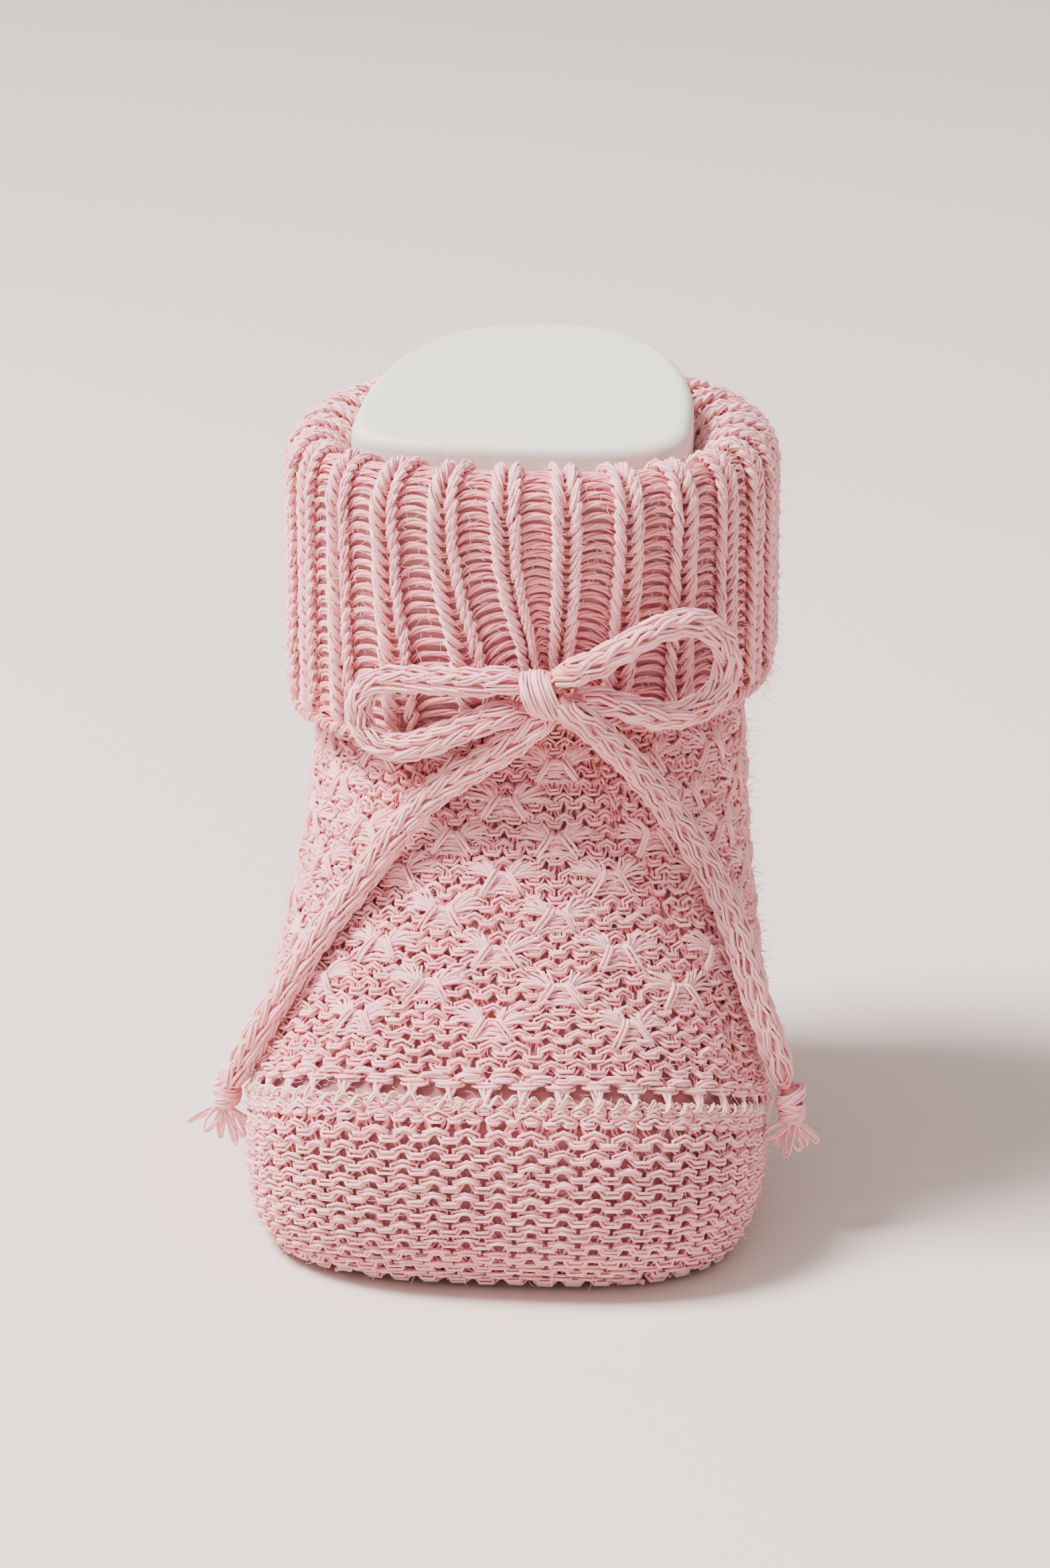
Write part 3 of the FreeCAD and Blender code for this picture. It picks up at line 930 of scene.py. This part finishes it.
# ---------------------------------------------------------------- the rib
# One rib and one hollow, as the yarn runs: share of the rib's width, rows up, millimetres out.
HALF_RIB = [
    (0.000, 0.95, -0.75), (0.120, 1.00, -0.30), (0.212, 0.72, 0.34), (0.165, 0.12, 0.62),
    (0.105, -0.52, 0.30), (0.075, -0.95, -0.30), (0.165, -1.05, -0.78), (0.255, -0.62, -0.62),
    (0.320, -0.40, -0.50), (0.410, -0.28, -0.52), (0.500, -0.24, -0.52),
]
RIB_EDGE_ROOM = 1.6         # the cast-off row's height, under the first row of rib
GATHER_WIDE_LEFT, GATHER_WIDE_RIGHT = 14.0, 12.0    # how far the knot draws the ribs together
GATHER_LEFT, GATHER_RIGHT = 0.78, 0.30              # and how strongly
GATHER_ROWS = 10.0          # and how many rows up
KNOT_PULL_IN, KNOT_PULL_WIDE = 1.2, 8.0
KNOT_LIFT = 2.0             # how far the knot draws the free edge up
KNOT_LIFT_LEFT, KNOT_LIFT_RIGHT = 17.0, 10.0        # and how far to each side
FOLD_ROWS = 7               # rows of rib over the fold
EDGE_PARTS = 72             # parts in which the free edge's height is read


def rib_line():
    """The points of one rib, from the middle of one hollow to the middle of the next."""
    half = np.array(HALF_RIB)
    before = half[::-1] * [-1, 1, 1]
    return np.vstack([before[:-1], half[:-1]])


class Leg:
    """The cuff's wall with its free edge and the way the tied cord gathers it."""

    def __init__(self, settings):
        self.skin, self.bottom, self.shoulder = skin_of("leg")
        self.edge = self.free_edge() + RIB_EDGE_ROOM
        self.rows = settings.rib_rows
        self.row_tall = (self.shoulder - self.edge.mean()) / self.rows
        self.girth = self.skin.girths[0]
        low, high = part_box("bow_knot")
        middle = np.array((low + high) / 2)[:2] / MM
        away = np.linalg.norm(self.skin.points[0][:, :2] - middle, axis=1)
        self.knot = away.argmin() / COLUMNS

    def last_row(self):
        """Where the rib ends inside the leg, in rows from the free edge."""
        return self.rows + (self.skin.heights[-1] + self.bottom - self.shoulder) / self.row_tall

    @staticmethod
    def free_edge():
        """The height of the cuff's free edge at each column, smoothed."""
        points = np.array([v.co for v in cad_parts["cuff_edge"].data.vertices]) / MM
        parts = (share_of(points) * EDGE_PARTS).astype(int) % EDGE_PARTS
        lowest = np.array([points[parts == part, 2].min() for part in range(EDGE_PARTS)])
        lowest = (lowest + np.roll(lowest, 1) + np.roll(lowest, -1)) / 3
        return np.interp(np.arange(COLUMNS) / COLUMNS, np.arange(EDGE_PARTS + 1) / EDGE_PARTS,
                         np.append(lowest, lowest[0]))

    def place(self, share, level, depth):
        """Points at a number of rows above the free edge, gathered towards the knot."""
        from_knot = (np.mod(share - self.knot + 0.5, 1.0) - 0.5) * self.girth
        left = from_knot < 0
        lift_wide = np.where(left, KNOT_LIFT_LEFT, KNOT_LIFT_RIGHT)
        edge = around(self.edge, np.mod(share, 1.0)) \
            + KNOT_LIFT * np.exp(-(from_knot / lift_wide) ** 2)
        straight = edge + (self.shoulder - edge) * level / self.rows
        over = self.shoulder + (level - self.rows) * self.row_tall
        height = np.where(level < self.rows, straight, over) - self.bottom
        wide = np.where(left, GATHER_WIDE_LEFT, GATHER_WIDE_RIGHT)
        strong = np.where(left, GATHER_LEFT, GATHER_RIGHT)
        rise = np.exp(-(np.maximum(level, 0) / GATHER_ROWS) ** 2)
        share = share - strong * from_knot * np.exp(-(from_knot / wide) ** 2) * rise \
            / self.girth
        sink = KNOT_PULL_IN * np.exp(-(from_knot / KNOT_PULL_WIDE) ** 2) * rise ** 3
        return self.skin.place(share, height, depth - sink)


def knit_rib(settings, name, node, seed, first, last, strands):
    """Rows of rib from one row to another, counted from the cuff's free edge."""
    leg, skein, line = Leg(settings), Skein(seed), rib_line()
    for row in range(first, last):
        along = (np.arange(settings.ribs)[:, None] + line[None, :, 0]).ravel()
        up, out = np.tile(line[:, 1], settings.ribs), np.tile(line[:, 2], settings.ribs)
        count = len(along)
        along = along + 0.02 * skein.drift(count, len(line), True)
        up = up + 0.06 * skein.drift(count, 9, True)
        relief = 1.0 if row < leg.rows + FOLD_ROWS else 0.8
        out = out * relief + 0.06 * skein.drift(count, 6, True)
        points, normals = leg.place(along / settings.ribs, row + 0.9 + up, out - 0.1)
        # Painted shade: the rib's hollows and the pull at the knot darken the yarn.
        skein.yarn(points, normals, True, shade_of(out, -1.15, 0.25), strands=strands,
                   spread=0.25, flat=0.9, turns=0.07, thickness=0.95)
    hand_over(skein, name, "cotton", node)


def cast_off(settings):
    """The cast-off row: a plait of two yarns along the free edge."""
    leg, skein = Leg(settings), Skein(24)
    links = settings.ribs * 2
    turn = np.arange(links * 10) * 2 * math.pi / 10
    share = turn / (2 * math.pi) / links
    for phase in (0, math.pi):
        level = -0.45 + 0.38 * np.sin(turn + phase)
        depth = -0.45 + 0.42 * np.cos(turn + phase)
        points, normals = leg.place(share, level, depth)
        # Painted shade: the plait darkens where its yarns turn under.
        skein.yarn(points, normals, True, shade_of(depth, -1.0, 0.1), spread=0.3)
    hand_over(skein, "cast_off_row", "cotton", "cuff_edge")


# ---------------------------------------------------------------- the cord
CORD_WALES = 3              # columns of stitches round the cord
CORD_ROW = 3.1              # length of one stitch along the cord


def route_line(route, closed=False):
    """Points along a smooth curve through the route, in millimetres."""
    curve = bpy.data.curves.new("route", "CURVE")
    curve.dimensions = "3D"
    curve.resolution_u = 16
    spline = curve.splines.new("NURBS")
    spline.points.add(len(route) - 1)
    for point, place in zip(spline.points, route):
        point.co = (*place, 1)
    spline.order_u = 3
    spline.use_endpoint_u = not closed
    spline.use_cyclic_u = closed
    holder = bpy.data.objects.new("route", curve)
    mesh = bpy.data.meshes.new_from_object(holder)
    line = np.array([v.co for v in mesh.vertices])
    bpy.data.objects.remove(holder)
    bpy.data.curves.remove(curve)
    bpy.data.meshes.remove(mesh)
    return line


def travelling_frame(line):
    """At each point of a line, two directions square to it that don't spin round it."""
    ahead = unit(np.gradient(line, axis=0))
    first = np.cross(ahead[0], [0.0, 0.0, 1.0] if abs(ahead[0][2]) < 0.9 else [1.0, 0.0, 0.0])
    sides = [first / np.linalg.norm(first)]
    for direction in ahead[1:]:
        side = sides[-1] - direction * np.dot(sides[-1], direction)
        sides.append(side / np.linalg.norm(side))
    sides = np.array(sides)
    return sides, np.cross(ahead, sides)


def knit_cord(skein, line, radius=CORD / 2, row=CORD_ROW, strands=4, spread=0.40):
    """A knitted cord along a line: one yarn that climbs round and round in stocking stitch."""
    along_line = np.concatenate([[0], np.cumsum(np.linalg.norm(np.diff(line, axis=0), axis=1))])
    sides, others = travelling_frame(line)

    def at(grid, where):
        return np.stack([np.interp(where, along_line, grid[:, k]) for k in range(3)], axis=1)

    stitches = max(2, round(along_line[-1] / row * CORD_WALES) - 3)
    along, up, out = loop_line(stitches, 0.80, -0.30, closed=False)
    turn = 2 * math.pi * along / CORD_WALES
    travel = (along / CORD_WALES + 0.45) * row + up * row
    travel = np.clip(travel, 0, along_line[-1])
    reach = radius - 0.58 + out + 0.05 * skein.drift(len(out), 7)
    way = unit(at(sides, travel) * np.cos(turn)[:, None]
               + at(others, travel) * np.sin(turn)[:, None])
    points = at(line, travel) + way * reach[:, None]
    # Painted shade: the cord's yarn darkens where it lies deeper between its stitches.
    skein.yarn(points, way, False, shade_of(out, -0.45, 0.1), strands=strands, spread=spread,
               flat=0.7, turns=0.06)
    steps = line[::3] if (len(line) - 1) % 3 == 0 else np.vstack([line[::3], line[-1:]])
    # A thick core strand in painted shade inside the cord, seen between its stitches.
    skein.strand(steps, False, 0.25, (radius - 0.85) / strand_radius())


def tie_cord(name, node, seed, route):
    """One free part of the cord."""
    skein, line = Skein(seed), route_line(route)
    knit_cord(skein, line)
    piece = hand_over(skein, name, "cord", node)
    return piece


def middle_of(node):
    low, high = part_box(node)
    return (low + high) / 2 / MM, (high - low) / 2 / MM


def wrap_knot():
    """The bow's knot: the cord passes once over the crossing, from behind to behind."""
    skein = Skein(31)
    middle, half = middle_of("bow_knot")
    core = np.array([tuple(middle + Vector((0.0, 0.4, z))) for z in np.linspace(-2.4, 2.4, 7)])
    # A thick core strand in painted shade inside the knot, seen between its turns.
    skein.strand(core, False, 0.3, 1.5 / strand_radius())
    turn = np.linspace(math.radians(-125), math.radians(125), 20)
    swell = 0.55 + 0.45 * np.cos(turn * 0.62)
    for k in range(9):
        place = (k - 4) / 4
        x = middle.x - 0.1 + 1.8 * place * swell - 0.85 * np.sin(turn)
        reach = 1 - 0.16 * place ** 2 + 0.03 * skein.drift(20, 5)
        points = np.column_stack([x, middle.y - 0.1 - (half.y - 0.2) * reach * np.cos(turn),
                                  middle.z + (half.z - 0.8) * reach * np.sin(turn)])
        out = np.column_stack([0.3 * place * np.ones(20), -np.cos(turn), np.sin(turn)])
        # A little painted shade over the whole wrap.
        skein.yarn(points, out, False, 0.9, strands=2, spread=0.22)
    hand_over(skein, "bow_wrap", "cord", "bow_knot")


def end_knot(name, node, seed, lean):
    """A knot at a cord's end: tight turns of the cord round itself."""
    skein = Skein(seed)
    middle, half = middle_of(node)
    for k, tilt in enumerate((0.5, -0.35, 0.1)):
        turn = np.linspace(0, 2 * math.pi, 22)[:-1]
        reach = half.x - 0.62 - 0.12 * k
        points = np.column_stack([middle.x + reach * np.cos(turn) + lean * 0.1 * k,
                                  middle.y + (half.y - 0.62) * np.sin(turn),
                                  middle.z + (1.15 - 1.15 * k) + tilt * reach * np.cos(turn)])
        out = unit(points - np.array(middle))
        for step in (-0.42, 0.0, 0.42):
            # A little painted shade over the knot's turns.
            skein.yarn(points + [0, 0, step], out, True, 0.92, strands=3, spread=0.24)
    core = np.array([tuple(middle + Vector((0, 0, z))) for z in np.linspace(-1.9, 2.2, 6)])
    # A thick core strand in painted shade inside the knot, seen between its turns.
    skein.strand(core, False, 0.3, 1.15 / strand_radius())
    return hand_over(skein, name, "cord", node)


def frayed_end(name, node, seed):
    """Small crumpled loops of yarn that spread from the knot."""
    skein = Skein(seed)
    middle, half = middle_of(node)
    turn = np.linspace(0, math.pi, 16)
    for k in range(6):
        lean = math.radians((k - 2.5) * 21 + skein.random.uniform(-7, 7))
        length = skein.random.uniform(0.60, 0.95) * 2 * half.z
        wide = skein.random.uniform(0.45, 0.85)
        across = wide * np.cos(turn) * np.sin(turn) ** 0.6 + 0.25 * skein.drift(16, 4)
        down = length * np.sin(turn) + 0.2 * skein.drift(16, 5)
        depth = skein.random.uniform(-1.0, 0.6) * np.sin(turn) + 0.35 * skein.drift(16, 5)
        points = np.column_stack([
            middle.x + across * math.cos(lean) + down * math.sin(lean),
            middle.y + depth,
            middle.z + half.z + 0.5 + across * math.sin(lean) - down * math.cos(lean)])
        out = np.tile([0.0, -1.0, 0.0], (len(points), 1))
        # A little painted shade over the loops.
        skein.yarn(points, out, False, 0.95, strands=2, spread=0.18, thickness=0.8)
    return hand_over(skein, name, "cord", node)


def ankle_cord():
    """The cord round the ankle, hidden under the cuff."""
    skein = Skein(30)
    low, high = (corner.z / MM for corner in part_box("drawstring"))
    tree = tree_of("drawstring")
    ring = level_row(tree, (low + high) / 2)[::6]
    middle = np.array([0, LEG_MIDDLE_Y, (low + high) / 2])
    ring = ring - unit(ring - middle) * CORD / 2
    line = route_line([tuple(p) for p in ring], closed=True)
    line = np.vstack([line, line[:1]])
    knit_cord(skein, line, radius=CORD / 2 - 0.1, strands=2, spread=0.25)
    hand_over(skein, "ankle_cord", "cord", "drawstring")


# ---------------------------------------------------------------- fuzz
def fluff_up(settings):
    """Short fibres that stand off the yarn all over the bootie."""
    skein = Skein(41)
    foot, (leg, bottom, shoulder) = skin_of("foot"), skin_of("leg")
    tops = {"foot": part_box("cuff_edge")[0].z / MM, "leg": shoulder + 8 - bottom}
    for skin, share_of_all, low, high in ((foot, 0.62, 1.5, tops["foot"]),
                                          (leg, 0.38, 3.0, tops["leg"])):
        count = int(settings.fibres * share_of_all)
        share = skein.random.uniform(0, 1, count)
        height = skein.random.uniform(low, high, count)
        base, normals = skin.place(share, height, np.full(count, 0.05))
        across = unit(skein.random.normal(0, 1, (count, 3)))
        length = skein.random.uniform(0.7, 2.2, count)[:, None]
        lean = unit(normals * skein.random.uniform(0.25, 1.0, (count, 1)) + across * 0.9)
        curl = unit(skein.random.normal(0, 1, (count, 3)))
        middle = base + lean * length * 0.5
        tip = base + lean * length + curl * length * 0.35
        for strand in np.stack([base, middle, tip], axis=1):
            skein.strand(strand, False, 1.0, np.array([0.17, 0.14, 0.07]))
    hand_over(skein, "loose_fibres", "cotton")


# ---------------------------------------------------------------- the stage, in metres
FLOOR_HALF = 3.0
AIM = Vector((0.0, 0.0, 0.048))
LIGHTS = (("key_light", (-0.74, -0.20, 1.18), 0.45, 64.0),      # name, place, size, power
          ("fill_light", (-0.5, -1.2, 0.8), 1.2, 2.0))
AIR_COLOUR, AIR_STRENGTH = (1.0, 0.975, 0.955, 1), 0.76
CAMERA_PLACE = (0.0633, -0.5822, 0.2366)
CAMERA_LENS, SENSOR = 118.0, 36.0       # these two in millimetres


def aimed(scene, name, data, place):
    """A light or the camera, put in its place and turned to the bootie."""
    item = bpy.data.objects.new(name, data)
    scene.collection.objects.link(item)
    item.location = place
    item.rotation_euler = (AIM - item.location).to_track_quat("-Z", "Y").to_euler()
    return item


# ---------------------------------------------------------------- operators
class BOOTIE_OT_sole(bpy.types.Operator):
    """Knit the sole"""
    bl_idname = "bootie.sole"
    bl_label = "Sole"

    def execute(self, context):
        knit_sole(context.scene.bootie_knit)
        return {"FINISHED"}


class BOOTIE_OT_band(bpy.types.Operator):
    """Knit the side band, the eyelets above it and the joining thread"""
    bl_idname = "bootie.band"
    bl_label = "Side band and eyelets"

    def execute(self, context):
        knit_band(context.scene.bootie_knit)
        knit_eyelets()
        lay_thread()
        return {"FINISHED"}


class BOOTIE_OT_panels(bpy.types.Operator):
    """Knit the instep and the two side panels with their motifs, and the heel seam"""
    bl_idname = "bootie.panels"
    bl_label = "Instep and sides"

    def execute(self, context):
        settings = context.scene.bootie_knit
        left, right = panel_edges(skin_of("foot"))
        knit_panel(settings, "instep_knit", "instep_panel", 15, left, right,
                   ("left", "right"), 2.6)
        knit_panel(settings, "left_side_knit", "side_wall_left", 16, lambda h: 0.006 + 0 * h,
                   left, ("right",), 3.4, strands=2)
        knit_panel(settings, "right_side_knit", "side_wall_right", 17, right,
                   lambda h: 0.994 + 0 * h, ("left",), 3.4, strands=2)
        run_seam()
        return {"FINISHED"}


class BOOTIE_OT_linings(bpy.types.Operator):
    """Add the linings under the foot's and the leg's yarn"""
    bl_idname = "bootie.linings"
    bl_label = "Linings"

    def execute(self, context):
        leg = Leg(context.scene.bootie_knit)
        lining(skin_of("foot").place, "foot_lining", FOOT_LOW + LINING_INSET,
               FOOT_HIGH, 120, 44, closed_below=True, turned_in=LINING_INSET)
        lining(leg.place, "leg_lining", -0.7, leg.last_row(), 120, 60)
        return {"FINISHED"}


class BOOTIE_OT_cuff(bpy.types.Operator):
    """Knit the folded rib, outside and inside, and its cast-off row"""
    bl_idname = "bootie.cuff"
    bl_label = "Ribbed cuff"

    def execute(self, context):
        settings = context.scene.bootie_knit
        outside = settings.rib_rows
        half = outside // 2
        knit_rib(settings, "cuff_rib", "cuff", 21, 0, half, 4)
        knit_rib(settings, "cuff_upper_rib", None, 22, half, outside, 4)
        knit_rib(settings, "cuff_fold_rib", None, 25, outside, outside + FOLD_ROWS, 4)
        inside_end = int(Leg(settings).last_row())
        knit_rib(settings, "inner_rib", "ankle_stand", 23, outside + FOLD_ROWS,
                 inside_end, 2)
        cast_off(settings)
        return {"FINISHED"}


class BOOTIE_OT_bow(bpy.types.Operator):
    """Knit the cord: round the ankle, the bow's knot, loops and tails, and their ends"""
    bl_idname = "bootie.bow"
    bl_label = "Cord and bow"

    def execute(self, context):
        ankle_cord()
        wrap_knot()
        for side, lean in (("left", -1), ("right", 1)):
            end_knot(f"end_knot_{side}_turns", f"end_knot_{side}", 32 + lean, lean)
            frayed_end(f"tassel_{side}_loops", f"tassel_{side}", 35 + lean)
        tie_cord("bow_loop_left_cord", "bow_loop_left", 36, LOOP_LEFT)
        tie_cord("bow_loop_right_cord", "bow_loop_right", 37, LOOP_RIGHT)
        tie_cord("tail_left_cord", "tie_tail_left", 38, TAIL_LEFT)
        tie_cord("tail_right_cord", "tie_tail_right", 39, TAIL_RIGHT)
        return {"FINISHED"}


class BOOTIE_OT_fuzz(bpy.types.Operator):
    """Raise the short loose fibres of the cotton"""
    bl_idname = "bootie.fuzz"
    bl_label = "Loose fibres"

    def execute(self, context):
        fluff_up(context.scene.bootie_knit)
        return {"FINISHED"}


class BOOTIE_OT_form(bpy.types.Operator):
    """Give the display form its matt white finish"""
    bl_idname = "bootie.form"
    bl_label = "Display form"

    def execute(self, context):
        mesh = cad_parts["ankle_form"].data
        mesh.materials.clear()
        mesh.materials.append(finish("form"))
        return {"FINISHED"}


class BOOTIE_OT_stage(bpy.types.Operator):
    """Set the floor, the soft lights and the camera"""
    bl_idname = "bootie.stage"
    bl_label = "Stage"

    def execute(self, context):
        scene = context.scene
        work = bmesh.new()
        bmesh.ops.create_grid(work, x_segments=1, y_segments=1, size=FLOOR_HALF)
        mesh = bpy.data.meshes.new("floor")
        work.to_mesh(mesh)
        work.free()
        mesh.materials.append(finish("floor"))
        floor = bpy.data.objects.new("floor", mesh)
        scene.collection.objects.link(floor)
        for name, place, size, power in LIGHTS:
            light = bpy.data.lights.new(name, "AREA")
            light.size, light.energy = size, power
            aimed(scene, name, light, place)
        world = bpy.data.worlds.new("studio_air")
        world.use_nodes = True
        air = world.node_tree.nodes["Background"]
        air.inputs["Color"].default_value = AIR_COLOUR
        air.inputs["Strength"].default_value = AIR_STRENGTH
        scene.world = world
        view = bpy.data.cameras.new("camera")
        view.lens, view.sensor_width = CAMERA_LENS, SENSOR
        scene.camera = aimed(scene, "camera", view, CAMERA_PLACE)
        return {"FINISHED"}


OPERATORS = (BOOTIE_OT_linings, BOOTIE_OT_sole, BOOTIE_OT_band, BOOTIE_OT_panels,
             BOOTIE_OT_cuff, BOOTIE_OT_bow, BOOTIE_OT_fuzz, BOOTIE_OT_form, BOOTIE_OT_stage)


class BOOTIE_PT_panel(bpy.types.Panel):
    """Sizes, colours and steps of the bootie"""
    bl_idname = "BOOTIE_PT_panel"
    bl_label = "Baby bootie"
    bl_space_type = "VIEW_3D"
    bl_region_type = "UI"
    bl_category = "Bootie"

    def draw(self, context):
        for group in (context.scene.bootie_knit, context.scene.bootie_colours):
            box = self.layout.box()
            for name in group.__annotations__:
                box.prop(group, name)
        for operator in OPERATORS:
            self.layout.operator(operator.bl_idname)


CLASSES = (BootieKnit, BootieColours, *OPERATORS, BOOTIE_PT_panel)


def register():
    for item in CLASSES:
        bpy.utils.register_class(item)
    bpy.types.Scene.bootie_knit = bpy.props.PointerProperty(type=BootieKnit)
    bpy.types.Scene.bootie_colours = bpy.props.PointerProperty(type=BootieColours)


def unregister():
    del bpy.types.Scene.bootie_colours
    del bpy.types.Scene.bootie_knit
    for item in reversed(CLASSES):
        bpy.utils.unregister_class(item)


def main():
    register()
    for operator in OPERATORS:
        group, name = operator.bl_idname.split(".")
        getattr(getattr(bpy.ops, group), name)()


if __name__ == "__main__":
    main()
